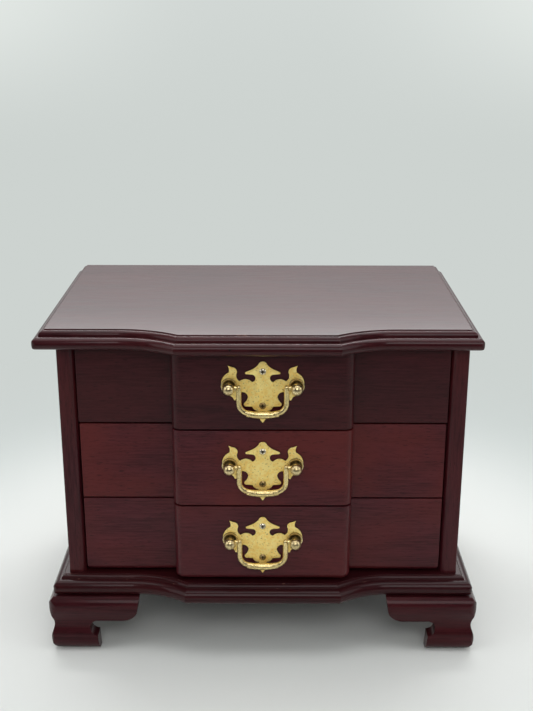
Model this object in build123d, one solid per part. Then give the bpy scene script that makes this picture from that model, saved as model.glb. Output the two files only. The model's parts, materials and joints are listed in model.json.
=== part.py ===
from build123d import *
import math
import os

# A block-front jewellery chest on ogee bracket feet: a lift-up lid with a mirror
# inside it, a lined well behind a false top drawer front, and two drawers below.
# Lengths are in millimetres. X runs to the right, Y to the back, Z up, and the
# origin is on the floor, under the middle of the whole chest.

# heights, from the floor up
foot_height = 44.4
lid_bumper_thickness = 0.8
case_height = 172.5

# case
case_width = 282.6
case_depth = 178.5
side_thickness = 12.6
side_inner_round = 5.5
side_outer_round = 1.2
back_thickness = 9.0
shelf_thickness = 4.0
dado_depth = 4.0

# base board and lid board
base_overhang = 10.9
base_nose_radius = 5.6
base_quirk = 0.3
base_ovolo_radius = 2.3
base_riser = 0.5
lid_overhang = 11.2
lid_nose_radius = 4.4
lid_quirk = 0.4
lid_ovolo_radius = 3.6
lid_riser = 0.6
ovolo_inset_past_nose = 0.2
lid_sits_left = 3.2
plan_corner_round = 3.5
cutter_overrun = 4.0

# block front
block_out = 13.0
block_flat_width = 111.4
block_round = 7.0
hollow_width = 38.0
front_thickness = 10.0
front_gap = 1.2
front_side_gap = 0.8
false_front_side_gap = 0.3
front_height = 56.1
false_front_height = 54.7
front_edge_round = 0.5
lowest_front_clearance = 1.6
lowest_edge_round = 4.0

# drawers
drawer_side_thickness = 6.0
drawer_back_thickness = 6.0
drawer_bottom_thickness = 3.0
drawer_groove_depth = 2.5
drawer_groove_height = 3.0
drawer_box_height = 46.0
drawer_side_clearance = 0.8
drawer_under_clearance = 0.3
drawer_front_stop_gap = 0.3
drawer_rear_space = 3.0

# well and linings
well_front_thickness = 6.0
liner_thickness = 1.5
liner_below_top = 5.0
divider_thickness = 4.0
divider_height = 34.0
ring_pad_width = 124.0
ring_zone_depth = 88.0
cross_divider_x = 46.0
roll_count = 7
roll_pad_height = 21.0
roll_end_round = 3.0
pad_clearance = 0.4

# lid mirror
mirror_width = 212.0
mirror_thickness = 3.0
mirror_recess_clearance = 0.3
frame_strip_width = 12.0
frame_strip_height = 4.0
frame_strip_lap = 4.0
frame_strip_round = 2.5
mirror_frame_front_gap = 17.0
mirror_frame_back_gap = 8.5
bumper_radius = 4.0
bumper_behind_front = 13.0

# hinges
hinge_x = 85.0
hinge_length = 26.0
hinge_leaf_width = 8.0
hinge_leaf_thickness = 1.0
hinge_knuckle_radius = 1.9
hinge_pin_radius = 0.95
hinge_pin_clearance = 0.05
hinge_pin_head = 0.5
hinge_wall_gap = 0.2
hinge_knuckle_gap = 0.25
hinge_mortise_clearance = 0.05
hinge_screw_spacing = 16.0

# wood screws of the hinges
hinge_screw_head_radius = 1.8
hinge_screw_head_height = 0.8
hinge_screw_shank_radius = 0.8
hinge_screw_length = 6.5
screw_hole_clearance = 0.05
screw_slot_width = 0.5
screw_slot_depth = 0.35

# feet
foot_length = 62.6
foot_board_inset = 9.0
foot_top_inset = 0.2
foot_bulge_out = 3.9
foot_bulge_height = 35.8
foot_waist_out = 0.1
foot_waist_height = 21.8
foot_flare_out = 2.5
foot_flare_height = 13.0
foot_sole_inset = 4.0
foot_heel_inset = 1.5
foot_heel_height = 4.6
foot_arch_height = 24.4
foot_arch_start = 49.4
foot_end_slope = 1.4
foot_end_round_height = 12.0
foot_notch_radius = 5.6
foot_notch_x = 31.4
foot_sole_length = 32.2
foot_corner_round = 7.0
rear_foot_board = 9.0
glue_block_size = 16.0
glue_block_height = 30.0

# pulls
plate_width = 56.1
plate_thickness = 1.2
post_spacing = 45.8
post_height = 5.1
post_ball_radius = 4.1
post_ball_standoff = 8.8
post_neck_radius = 2.5
post_collar_radius = 5.3
post_collar_thickness = 1.4
post_collar_rim = 0.5
post_collar_floor = 0.4
post_stem_radius = 1.5
stem_clearance = 0.03
bail_pivot_standoff = 5.3
bail_pin_radius = 1.2
bail_pin_clearance = 0.08
bail_pin_bite = 2.0
bail_arm_radius = 1.8
bail_arm_spacing = 32.2
bail_drop = 19.5
bail_corner_radius = 7.5
bail_bow = 1.0
bail_swell_radius = 2.6
bail_swell_length = 22.0
middle_pull_lower = 1.8
bottom_pull_lower = 0.9
pull_screw_upper = 15.1
pull_screw_lower = -9.3
pull_screw_head_radius = 2.5
pull_screw_head_height = 1.1
pull_screw_shank_radius = 1.2
pull_screw_length = 12.0
pull_slot_width = 0.7
pull_slot_length = 2.6
pull_slot_depth = 0.6

# sizes that follow from the ones above
base_thickness = 2 * base_nose_radius + base_quirk + base_ovolo_radius + base_riser
lid_thickness = 2 * lid_nose_radius + lid_quirk + lid_ovolo_radius + lid_riser
base_top = foot_height + base_thickness
case_top = base_top + case_height
lid_bottom = case_top + lid_bumper_thickness
lid_top = lid_bottom + lid_thickness

case_half = case_width / 2
inner_half = case_half - side_thickness
block_half = block_flat_width / 2 + block_round
base_half = case_half + base_overhang
lid_half = case_half + lid_overhang

# the whole chest reaches from the pulls' balls to the hinge knuckles
hinge_axis_behind_back = hinge_knuckle_radius + hinge_wall_gap
reach_behind_back = hinge_axis_behind_back + hinge_knuckle_radius
reach_before_front = block_out + post_ball_standoff + post_ball_radius
back_y = (case_depth + reach_before_front - reach_behind_back) / 2
front_y = back_y - case_depth
front_back_y = front_y + front_thickness
block_y = front_y - block_out
inner_back_y = back_y - back_thickness
shelf_front_y = front_back_y + drawer_front_stop_gap
well_front_y = front_back_y + well_front_thickness

false_front_z = case_top - false_front_height
middle_front_top = false_front_z - front_gap
middle_front_z = middle_front_top - front_height
bottom_front_top = middle_front_z - front_gap
bottom_front_z = base_top + lowest_front_clearance
drawer_shelf_z = middle_front_z - front_gap / 2 - shelf_thickness / 2
well_floor_z = false_front_z - front_gap / 2 - shelf_thickness / 2
well_floor_top = well_floor_z + shelf_thickness

# the mirror's frame hangs in the well when the lid is shut
mirror_frame_past_glass = frame_strip_width - frame_strip_lap
mirror_frame_y = (well_front_y + mirror_frame_front_gap, inner_back_y - mirror_frame_back_gap)
mirror_centre_y = sum(mirror_frame_y) / 2
mirror_depth = mirror_frame_y[1] - mirror_frame_y[0] - 2 * mirror_frame_past_glass

hinge_axis_y = back_y + hinge_axis_behind_back
hinge_axis_z = case_top + lid_bumper_thickness / 2


def board(x, y, z):
    """A box from its low and high place along X, Y and Z."""
    size = Box(x[1] - x[0], y[1] - y[0], z[1] - z[0])
    return Pos((x[0] + x[1]) / 2, (y[0] + y[1]) / 2, (z[0] + z[1]) / 2) * size


def mirrored(shape):
    """The same shape on the other side of the chest."""
    return mirror(shape, about=Plane.YZ)


def group(*shapes):
    """Separate solids kept in one node."""
    return Compound(children=[s for shape in shapes for s in shape.solids()])


# Boards with a moulded edge


def edge_moulding(nose, quirk, ovolo, riser):
    """A bullnose with an ovolo above it, from the underside up, as (inset, height).

    It also gives the inset and the height where the moulding ends at the top.
    """
    inset = nose + ovolo_inset_past_nose
    top_inset = inset + ovolo
    shoulder = 2 * nose + quirk
    top = shoulder + ovolo + riser
    slant = ovolo * (1 - math.sqrt(0.5))
    moulding = [
        ThreePointArc((nose, 0), (0, nose), (nose, 2 * nose)),
        Line((nose, 2 * nose), (inset, 2 * nose)),
        Line((inset, 2 * nose), (inset, shoulder)),
        ThreePointArc(
            (inset, shoulder), (inset + slant, shoulder + ovolo - slant), (top_inset, shoulder + ovolo)),
        Line((top_inset, shoulder + ovolo), (top_inset, top)),
    ]
    return moulding, top_inset, top


def moulded_board(half, front, bottom, nose, quirk, ovolo, riser):
    """A board with a moulded edge round the sides and the block front, square at the back.

    A straight board as deep as the block is moulded first. Then the same moulding
    cuts away what stands in front of the two shoulders, which are straight, and of
    the hollows, which are tangent to the shoulders and lead out to the block.
    """
    moulding, top_inset, top = edge_moulding(nose, quirk, ovolo, riser)
    depth = back_y - front + block_out
    hollow_turn = 2 * math.atan2(block_out, hollow_width)
    hollow_radius = hollow_width / math.sin(hollow_turn)
    hollow_x = block_flat_width / 2 + hollow_width

    def across(x, y):
        """A plane square to X, in which the moulding's inset runs to the back."""
        return Plane(origin=(x, y, bottom), x_dir=(0, 1, 0), z_dir=(1, 0, 0))

    front_section = Face(Wire(moulding + [
        Line((top_inset, top), (depth, top)), Line((depth, top), (depth, 0)), Line((depth, 0), (nose, 0))]))
    long_board = extrude(across(-half, front - block_out) * front_section, 2 * half, dir=(1, 0, 0))

    left_edge = Pos(-half, 0) * Wire(moulding)
    side_section = Face(Wire(left_edge.edges() + mirror(left_edge, about=Plane.YZ).edges() + [
        Line((nose - half, 0), (half - nose, 0)), Line((top_inset - half, top), (half - top_inset, top))]))
    back_plane = Plane(origin=(0, back_y, bottom), x_dir=(1, 0, 0), z_dir=(0, -1, 0))
    deep_board = extrude(back_plane * side_section, depth, dir=(0, -1, 0))

    def waste(reach):
        """What lies in front of the moulding, and a little above and below it."""
        over = cutter_overrun
        return Face(Wire(moulding + [
            Line((top_inset, top), (top_inset, top + over)), Line((top_inset, top + over), (-reach, top + over)),
            Line((-reach, top + over), (-reach, -over)), Line((-reach, -over), (nose, -over)),
            Line((nose, -over), (nose, 0))]))

    start = across(hollow_x, front)
    cut = extrude(
        start * waste(block_out + cutter_overrun), half - hollow_x + cutter_overrun, dir=(1, 0, 0))
    hollow_axis = Axis((hollow_x, front - hollow_radius, 0), (0, 0, 1))
    cut += revolve(start * waste(hollow_radius), hollow_axis, revolution_arc=90)

    r, heights = plan_corner_round, (bottom - cutter_overrun, bottom + top + cutter_overrun)
    corner = board((half - r, half + cutter_overrun), (front - cutter_overrun, front + r), heights)
    corner -= Pos(half - r, front + r, sum(heights) / 2) * Cylinder(r, heights[1] - heights[0])
    cut += corner
    return (long_board & deep_board) - cut - mirrored(cut)


def base_board():
    return moulded_board(
        base_half, front_y - base_overhang, foot_height,
        base_nose_radius, base_quirk, base_ovolo_radius, base_riser)


def glass_board(clearance=0.0):
    """The mirror glass, or the recess for it, in the underside of the lid."""
    half_x, half_y = mirror_width / 2 + clearance, mirror_depth / 2 + clearance
    return board(
        (-half_x - lid_sits_left, half_x - lid_sits_left),
        (mirror_centre_y - half_y, mirror_centre_y + half_y),
        (lid_bottom, lid_bottom + mirror_thickness))


def lid_board():
    lid = Pos(-lid_sits_left, 0) * moulded_board(
        lid_half, front_y - lid_overhang, lid_bottom,
        lid_nose_radius, lid_quirk, lid_ovolo_radius, lid_riser)
    recess = glass_board(mirror_recess_clearance)
    return lid - recess - hinge_mortises(lid_bottom, 1) - hinge_screw_holes(lid_bottom, 1)


def mirror_glass():
    return glass_board()


def mirror_frame():
    """Four mitred strips under the lid that hold the glass in its recess."""
    half_x = mirror_width / 2 + mirror_frame_past_glass
    half_y = mirror_depth / 2 + mirror_frame_past_glass

    def strip(length, turn, reach):
        flat = Box(length, frame_strip_width, frame_strip_height)
        lower = flat.edges().filter_by(Axis.X).group_by(Axis.Z)[0]
        flat = fillet(lower, frame_strip_round)
        mitre = Polyline(
            (-length / 2, 0), (length / 2, 0),
            (length / 2 - frame_strip_width, frame_strip_width),
            (-length / 2 + frame_strip_width, frame_strip_width), close=True)
        cutter = Pos(0, -frame_strip_width / 2, -frame_strip_height / 2) * extrude(
            make_face(mitre), frame_strip_height, dir=(0, 0, 1))
        centre = Pos(-lid_sits_left, mirror_centre_y, lid_bottom - frame_strip_height / 2)
        return centre * Rot(0, 0, turn) * Pos(0, frame_strip_width / 2 - reach, 0) * (flat & cutter)

    return group(
        strip(2 * half_x, 0, half_y), strip(2 * half_y, 90, half_x),
        strip(2 * half_x, 180, half_y), strip(2 * half_y, 270, half_x))


def lid_bumpers():
    x = case_half - side_thickness / 2
    disc = Cylinder(bumper_radius, lid_bumper_thickness)
    right = Pos(x, front_y + bumper_behind_front, case_top + lid_bumper_thickness / 2) * disc
    return group(mirrored(right), right)


# Case


def side_panel():
    """The right side. Its front edge is the corner post that shows beside the drawers."""
    panel = board((inner_half, case_half), (front_y, back_y), (base_top, case_top))
    uprights = panel.edges().filter_by(Axis.Z).group_by(Axis.Y)[0].sort_by(Axis.X)
    panel = fillet(uprights[0], side_inner_round)
    uprights = panel.edges().filter_by(Axis.Z).group_by(Axis.Y)[0].sort_by(Axis.X)
    panel = fillet(uprights[-1], side_outer_round)
    for low in (drawer_shelf_z, well_floor_z):
        panel -= board(
            (inner_half, inner_half + dado_depth), (shelf_front_y, inner_back_y), (low, low + shelf_thickness))
    return panel


def back_panel():
    panel = board((-inner_half, inner_half), (inner_back_y, back_y), (base_top, case_top))
    return panel - hinge_mortises(case_top, -1) - hinge_screw_holes(case_top, -1)


def shelf(low):
    half = inner_half + dado_depth
    return board((-half, half), (shelf_front_y, inner_back_y), (low, low + shelf_thickness))


def well_front_board():
    """The well's own front wall, which carries the false drawer front."""
    return board(
        (-inner_half, inner_half), (front_back_y, well_front_y),
        (well_floor_top, case_top))


# Fronts, made of a flat panel with a round-edged block glued on it


def front_panel(side_gap, low, high, lower_round):
    half = inner_half - side_gap
    panel = board((-half, half), (front_y, front_back_y), (low, high))
    front = panel.faces().sort_by(Axis.Y)[0].edges()
    bottom = front.group_by(Axis.Z)[0]
    panel = fillet([e for e in front if e not in bottom], front_edge_round)
    front = panel.faces().sort_by(Axis.Y)[0].edges()
    return fillet(front.group_by(Axis.Z)[0], lower_round)


def front_block(low, high, lower_round):
    flat, out = block_flat_width / 2, block_out
    slant = block_round * (1 - math.sqrt(0.5))
    edges = [
        Line((-block_half, 0), (-block_half, block_round - out)),
        ThreePointArc(
            (-block_half, block_round - out), (-block_half + slant, slant - out), (-flat, -out)),
        Line((-flat, -out), (flat, -out)),
        ThreePointArc(
            (flat, -out), (block_half - slant, slant - out), (block_half, block_round - out)),
        Line((block_half, block_round - out), (block_half, 0)),
        Line((block_half, 0), (-block_half, 0)),
    ]
    block = Pos(0, front_y, low) * extrude(Face(Wire(edges)), high - low)
    block = fillet(outer_rim(block.faces().sort_by(Axis.Z)[-1]), front_edge_round)
    return fillet(outer_rim(block.faces().sort_by(Axis.Z)[0]), lower_round)


def outer_rim(face):
    """The edges of a block's end face, without the one against the panel."""
    return [e for e in face.edges() if e.center().Y < front_y - 0.01]


def pull_holes(z):
    """Screw holes in a front for the pull at that height."""
    bore = Cylinder(pull_screw_shank_radius + screw_hole_clearance, pull_screw_length)
    spot = Rot(90, 0, 0) * bore
    return [Pos(0, block_y + pull_screw_length / 2 - plate_thickness, z + dz) * spot
            for dz in (pull_screw_upper, pull_screw_lower)]


# Drawers


def drawer_parts(name, front_low, front_high, box_low, lower_round, pull_z):
    half = inner_half - drawer_side_clearance
    rear_y = inner_back_y - drawer_rear_space
    wall_rear_y = rear_y - drawer_back_thickness
    box_high = box_low + drawer_box_height
    groove = (box_low + drawer_groove_height, box_low + drawer_groove_height + drawer_bottom_thickness)
    wall_x = half - drawer_side_thickness
    tray_half = wall_x + drawer_groove_depth
    bottom = board(
        (-tray_half, tray_half), (front_back_y - drawer_groove_depth, wall_rear_y + drawer_groove_depth), groove)
    right = board((wall_x, half), (front_back_y, rear_y), (box_low, box_high)) - bottom
    back = board((-wall_x, wall_x), (wall_rear_y, rear_y), (box_low, box_high)) - bottom
    panel = front_panel(front_side_gap, front_low, front_high, lower_round) - bottom
    block = front_block(front_low, front_high, lower_round)
    for hole in pull_holes(pull_z):
        block -= hole
    return {
        name + "_front_panel": panel,
        name + "_front_block": block,
        name + "_side_left": mirrored(right),
        name + "_side_right": right,
        name + "_back": back,
        name + "_bottom": bottom,
        name + "_liner": open_tray(
            (-wall_x, wall_x), (front_back_y, wall_rear_y), (groove[1], box_high - liner_below_top)),
    }


def open_tray(x, y, z):
    """A thin lining of a floor and four walls."""
    outside = board(x, y, z)
    t = liner_thickness
    return outside - board((x[0] + t, x[1] - t), (y[0] + t, y[1] - t), (z[0] + t, z[1]))


# Well


well_y = (well_front_y, inner_back_y)
well_x = (-inner_half, inner_half)
liner_floor = well_floor_top + liner_thickness
liner_top = case_top - liner_below_top
long_divider_y = well_y[0] + liner_thickness + ring_zone_depth


def well_dividers():
    """The long divider, and the cross dividers before and behind it."""
    heights = (liner_floor, liner_floor + divider_height)
    x_end = inner_half - liner_thickness
    along = board((-x_end, x_end), (long_divider_y, long_divider_y + divider_thickness), heights)
    front_x = ring_pad_width / 2 + pad_clearance
    before = board(
        (front_x, front_x + divider_thickness), (well_y[0] + liner_thickness, long_divider_y), heights)
    behind = board(
        (cross_divider_x, cross_divider_x + divider_thickness),
        (long_divider_y + divider_thickness, well_y[1] - liner_thickness), heights)
    return along, group(before, mirrored(before), behind, mirrored(behind))


def ring_roll_pad():
    """A padded tray of round rolls, side by side, that hold rings between them."""
    depth = ring_zone_depth - 2 * pad_clearance
    pitch = depth / roll_count
    shoulder = roll_pad_height - pitch / 2
    front = well_y[0] + liner_thickness + pad_clearance
    edges = [Line((front + depth, liner_floor), (front, liner_floor)),
             Line((front, liner_floor), (front, liner_floor + shoulder))]
    for n in range(roll_count):
        y0, z0 = front + n * pitch, liner_floor + shoulder
        edges.append(ThreePointArc((y0, z0), (y0 + pitch / 2, z0 + pitch / 2), (y0 + pitch, z0)))
    edges.append(Line((front + depth, liner_floor + shoulder), (front + depth, liner_floor)))
    section = Plane.YZ.offset(-ring_pad_width / 2) * Face(Wire(edges))
    pad = extrude(section, ring_pad_width, dir=(1, 0, 0))
    ends = Pos(0, front + depth / 2, liner_floor + roll_pad_height / 2) * Box(
        ring_pad_width, depth + 2, roll_pad_height)
    ends = fillet(ends.edges().filter_by(Axis.Y).group_by(Axis.Z)[-1], roll_end_round)
    return pad & ends


# Hinges


def both_hinges(shape):
    """The same piece at the left and right hinge."""
    return [Pos(sign * hinge_x, 0, 0) * shape for sign in (-1, 1)]


def hinge_mortises(face_z, up):
    """Cutters for the leaves, sunk in the lid's underside or the case's top edge."""
    clear = hinge_mortise_clearance
    half = hinge_length / 2 + clear
    low, high = sorted((face_z, face_z + up * hinge_leaf_thickness))
    pocket = board((-half, half), (back_y - hinge_leaf_width - clear, back_y), (low, high))
    return group(*both_hinges(pocket))


def hinge_screw_spots():
    y = back_y - hinge_leaf_width / 2
    return [(sx * hinge_x + s * hinge_screw_spacing / 2, y) for sx in (-1, 1) for s in (-1, 1)]


def hinge_screw(radius_more=0.0):
    """A countersunk screw with its head's face at Z 0, pointing down."""
    head = hinge_screw_head_radius + radius_more
    shank = hinge_screw_shank_radius + radius_more
    outline = Polyline(
        (0, 0), (head, 0), (shank, -hinge_screw_head_height),
        (shank, -hinge_screw_length + shank), (0, -hinge_screw_length), close=True)
    return revolve(Plane.XZ * make_face(outline), Axis.Z)


def hinge_screw_holes(face_z, up):
    turn = Rot(180, 0, 0) if up > 0 else Rot(0, 0, 0)
    cutter = hinge_screw(screw_hole_clearance)
    return group(*[Pos(x, y, face_z) * turn * cutter for x, y in hinge_screw_spots()])


def hinge_screws(face_z, up):
    turn = Rot(180, 0, 0) if up > 0 else Rot(0, 0, 0)
    slot = Box(2 * hinge_screw_head_radius, screw_slot_width, 2 * screw_slot_depth)
    screw = hinge_screw() - slot - Rot(0, 0, 90) * slot
    return group(*[Pos(x, y, face_z) * turn * screw for x, y in hinge_screw_spots()])


def hinge_leaf(face_z, up, spans):
    """A leaf with its knuckles. The spans are the X stretches that its knuckles take."""
    low, high = sorted((face_z, face_z + up * hinge_leaf_thickness))
    half = hinge_length / 2
    leaf = board(
        (-half, half), (back_y - hinge_leaf_width, back_y - hinge_knuckle_gap / 2), (low, high))
    for x0, x1 in spans:
        leaf += board((x0, x1), (back_y - hinge_knuckle_gap, hinge_axis_y), (low, high))
        knuckle = Rot(0, 90, 0) * Cylinder(hinge_knuckle_radius, x1 - x0)
        leaf += Pos((x0 + x1) / 2, hinge_axis_y, hinge_axis_z) * knuckle
    bore = Rot(0, 90, 0) * Cylinder(hinge_pin_radius + hinge_pin_clearance, 2 * hinge_length)
    leaf -= Pos(0, hinge_axis_y, hinge_axis_z) * bore
    return leaf


def hinge_leaves(face_z, up, spans):
    return group(*both_hinges(hinge_leaf(face_z, up, spans))) - hinge_screw_holes(face_z, up)


def hinge_pins():
    length = hinge_length
    pin = Rot(0, 90, 0) * Cylinder(hinge_pin_radius, length)
    for sign in (-1, 1):
        cap = Rot(0, 90, 0) * Cylinder(hinge_knuckle_radius * 0.8, hinge_pin_head)
        pin += Pos(sign * (length + hinge_pin_head) / 2, 0, 0) * cap
    return group(*both_hinges(Pos(0, hinge_axis_y, hinge_axis_z) * pin))


# Feet: ogee brackets, mitred at the front corners


def foot_section():
    """The ogee of a bracket, outward along X from the base's outline, and up."""
    ogee = Spline(
        (-foot_sole_inset, 0), (foot_flare_out - foot_heel_inset, foot_heel_height), (foot_flare_out, foot_flare_height),
        (foot_waist_out, foot_waist_height), (foot_bulge_out, foot_bulge_height),
        (-foot_top_inset, foot_height))
    back = Polyline(
        (-foot_top_inset, foot_height), (-foot_board_inset, foot_height),
        (-foot_board_inset, 0), (-foot_sole_inset, 0))
    return make_face(Wire([ogee] + back.edges()))


def foot_outline(start):
    """The bracket seen from its face: along X from the corner, and up."""
    n = foot_notch_radius
    end_x, end_z = foot_length - foot_end_slope, foot_arch_height + foot_end_round_height
    round_x = end_x - 0.28 * (end_x - foot_arch_start)
    round_z = foot_arch_height + 0.3 * foot_end_round_height
    edge = Wire([
        Line((start, 0), (start, foot_height)),
        Line((start, foot_height), (foot_length, foot_height)),
        Line((foot_length, foot_height), (end_x, end_z)),
        ThreePointArc((end_x, end_z), (round_x, round_z), (foot_arch_start, foot_arch_height)),
        Line((foot_arch_start, foot_arch_height), (foot_notch_x, foot_arch_height)),
        ThreePointArc(
            (foot_notch_x, foot_arch_height), (foot_notch_x - n, foot_arch_height - n),
            (foot_notch_x, foot_arch_height - 2 * n)),
        Line((foot_notch_x, foot_arch_height - 2 * n), (foot_sole_length, 0)),
        Line((foot_sole_length, 0), (start, 0)),
    ])
    return Face(edge)


def ogee_bracket(mitred):
    """A bracket along +X from the corner, facing -Y, with the base's corner at the origin."""
    reach = foot_bulge_out + 2
    section = Plane(origin=(-reach, 0, 0), x_dir=(0, -1, 0), z_dir=(-1, 0, 0)) * foot_section()
    length = foot_length + 2 * reach
    bar = extrude(section, length, dir=(1, 0, 0))
    outline = Plane(origin=(0, foot_board_inset + 1, 0), x_dir=(1, 0, 0), z_dir=(0, -1, 0)) * foot_outline(
        -reach)
    bracket = bar & extrude(outline, foot_board_inset + reach + 2, dir=(0, -1, 0))
    if mitred:
        side = foot_length + 4 * reach
        corner = make_face(Polyline((-reach, -reach), (side, -reach), (side, side), close=True))
        bracket &= extrude(corner, foot_height, dir=(0, 0, 1))
        low, high = -foot_bulge_out, foot_corner_round - foot_bulge_out
        square = board((low - 1, high), (low - 1, high), (0, foot_height))
        return bracket - (square - Pos(high, high, foot_height / 2) * Cylinder(foot_corner_round, foot_height))
    return bracket & board((0, length), (-reach - 1, foot_board_inset + 1), (0, foot_height))


def front_left_foot():
    """The mitred pair of the front left corner: the face and the return."""
    corner = Pos(-base_half, front_y - base_overhang, 0)
    face = ogee_bracket(True)
    swapped = mirror(face, about=Plane(origin=(0, 0, 0), z_dir=(1, -1, 0)))
    return corner * face, corner * swapped


def rear_left_foot():
    """An ogee bracket along the side and a plain board across the back."""
    along = ogee_bracket(False)
    turned = mirror(along, about=Plane(origin=(0, 0, 0), z_dir=(1, -1, 0)))
    side = Pos(-base_half, back_y, 0) * mirror(turned, about=Plane.XZ)
    plan = Plane(origin=(-base_half, back_y, 0), x_dir=(1, 0, 0), z_dir=(0, -1, 0)) * foot_outline(
        foot_board_inset)
    return side, extrude(plan, rear_foot_board, dir=(0, -1, 0))


def foot_glue_blocks():
    """Square blocks that stiffen the brackets under the base board."""
    low = foot_height - glue_block_height
    x = -base_half + foot_board_inset
    y_front = front_y - base_overhang + foot_board_inset
    y_rear = back_y - rear_foot_board
    front = board((x, x + glue_block_size), (y_front, y_front + glue_block_size), (low, foot_height))
    rear = board((x, x + glue_block_size), (y_rear - glue_block_size, y_rear), (low, foot_height))
    return group(front, mirrored(front), rear, mirrored(rear))


# Pulls. Each is drawn on its middle, with X to the right and Z up, and the
# front of the block in the plane Y 0.


def plate_outline():
    """The right half of the pierced plate: (x, z) ends, with a middle point on each arc."""
    arcs = [
        ((1.7, 21.9), (2.9, 20.2)), ((5.3, 17.9), (8.4, 16.2)), (None, (11.4, 14.9)),
        ((11.9, 14.0), (11.0, 13.3)), (None, (7.2, 13.0)), ((4.9, 10.7), (7.3, 7.7)),
        ((11.8, 9.8), (15.6, 8.2)), ((17.5, 10.4), (17.4, 14.2)), ((18.2, 17.2), (20.6, 18.3)),
        (None, (23.6, 19.4)), ((22.7, 17.0), (22.9, 14.5)), ((27.2, 10.2), (27.9, 4.6)),
        ((26.2, 0.2), (22.4, -2.2)), ((20.6, -3.2), (19.6, -4.8)), ((18.6, -5.5), (17.9, -4.4)),
        (None, (15.6, 0.2)), ((11.4, -0.4), (10.0, -3.0)), ((10.9, -5.4), (12.3, -7.2)),
        ((12.7, -9.0), (11.0, -9.9)), (None, (7.0, -10.1)), ((5.9, -12.0), (3.2, -13.0)),
        ((1.9, -15.6), (2.0, -19.2)), (None, (0.0, -22.0)),
    ]
    drawn_width = 56.1
    k = plate_width / drawn_width
    edges, here = [], (0.0, 22.3)
    for middle, end in arcs:
        for side in (k, -k):
            a, b = (side * here[0], k * here[1]), (side * end[0], k * end[1])
            if middle is None:
                edges.append(Line(a, b))
            else:
                edges.append(ThreePointArc(a, (side * middle[0], k * middle[1]), b))
        here = end
    return Face(Wire(edges))


def along_y(shape, y0, length):
    """A Z-long shape of that length laid along Y, starting at y0."""
    return Pos(0, y0 + length / 2, 0) * Rot(90, 0, 0) * shape


def pull_plate():
    sheet_plane = Plane(origin=(0, 0, 0), x_dir=(1, 0, 0), z_dir=(0, -1, 0))
    plate = extrude(sheet_plane * plate_outline(), plate_thickness, dir=(0, -1, 0))
    for side in (-1, 1):
        stem = Cylinder(post_stem_radius + stem_clearance, 3 * plate_thickness)
        plate -= Pos(side * post_spacing / 2, -plate_thickness / 2, post_height) * Rot(90, 0, 0) * stem
    for z in (pull_screw_upper, pull_screw_lower):
        bore = Cylinder(pull_screw_shank_radius + screw_hole_clearance, 3 * plate_thickness)
        plate -= Pos(0, -plate_thickness / 2, z) * Rot(90, 0, 0) * bore
    return plate


def pull_posts():
    """Ball-ended posts with dished collars, bored on the inner side for the bail's pins."""
    face = -plate_thickness
    collar = face - post_collar_thickness
    dish_floor = face - post_collar_floor
    ball = -post_ball_standoff
    post = along_y(Cylinder(post_stem_radius, plate_thickness), face, plate_thickness)
    dish_depth = post_collar_thickness - post_collar_floor
    dish = Cone(post_neck_radius + post_collar_rim, post_collar_radius - post_collar_rim, dish_depth)
    disc = Cylinder(post_collar_radius, post_collar_thickness)
    disc -= Pos(0, 0, post_collar_floor / 2) * dish
    post += along_y(disc, collar, post_collar_thickness)
    post += along_y(Cylinder(post_neck_radius, dish_floor - ball), ball, dish_floor - ball)
    post += Pos(0, ball, 0) * Sphere(post_ball_radius)
    bore = Rot(0, 90, 0) * Cylinder(bail_pin_radius + bail_pin_clearance, 2 * bail_pin_bite)
    left = post - Pos(post_neck_radius, -bail_pivot_standoff, 0) * bore
    left = Pos(-post_spacing / 2, 0, post_height) * left
    return group(left, mirrored(left))


def pull_bail():
    """A drop handle: pins in the posts, two arms, and a bowed grip that swells in the middle."""
    pin_end = post_spacing / 2 - post_neck_radius + bail_pin_bite - bail_pin_clearance
    arm = bail_arm_spacing / 2
    low = -bail_drop
    round_top = low + bail_bow + bail_corner_radius
    grip_end = arm - bail_corner_radius
    slant = bail_corner_radius * (1 - math.sqrt(0.5))
    path = Plane.XZ * Wire([
        Line((-arm, 0), (-arm, round_top)),
        ThreePointArc((-arm, round_top), (-arm + slant, low + bail_bow + slant), (-grip_end, low + bail_bow)),
        ThreePointArc((-grip_end, low + bail_bow), (0, low), (grip_end, low + bail_bow)),
        ThreePointArc((grip_end, low + bail_bow), (arm - slant, low + bail_bow + slant), (arm, round_top)),
        Line((arm, round_top), (arm, 0))])
    start = Plane(origin=(-arm, 0, 0), x_dir=(1, 0, 0), z_dir=(0, 0, -1))
    bail = sweep(start * Circle(bail_arm_radius), path=path, transition=Transition.ROUND)
    for side in (-1, 1):
        pin = Rot(0, 90, 0) * Cylinder(bail_pin_radius, pin_end - arm)
        bail += Pos(side * (pin_end + arm) / 2, 0, 0) * pin
        bail += Pos(side * arm, 0, 0) * Sphere(bail_arm_radius)
    swell = Pos(0, 0, low)
    half_length = bail_swell_length / 2
    spindle = make_face(Wire([
        ThreePointArc((-half_length, bail_arm_radius * 0.7), (0, bail_swell_radius),
                      (half_length, bail_arm_radius * 0.7)),
        Line((half_length, bail_arm_radius * 0.7), (half_length, 0)),
        Line((half_length, 0), (-half_length, 0)),
        Line((-half_length, 0), (-half_length, bail_arm_radius * 0.7))]))
    bail += swell * revolve(spindle, Axis.X)
    return Pos(0, -bail_pivot_standoff, post_height) * bail


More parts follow.
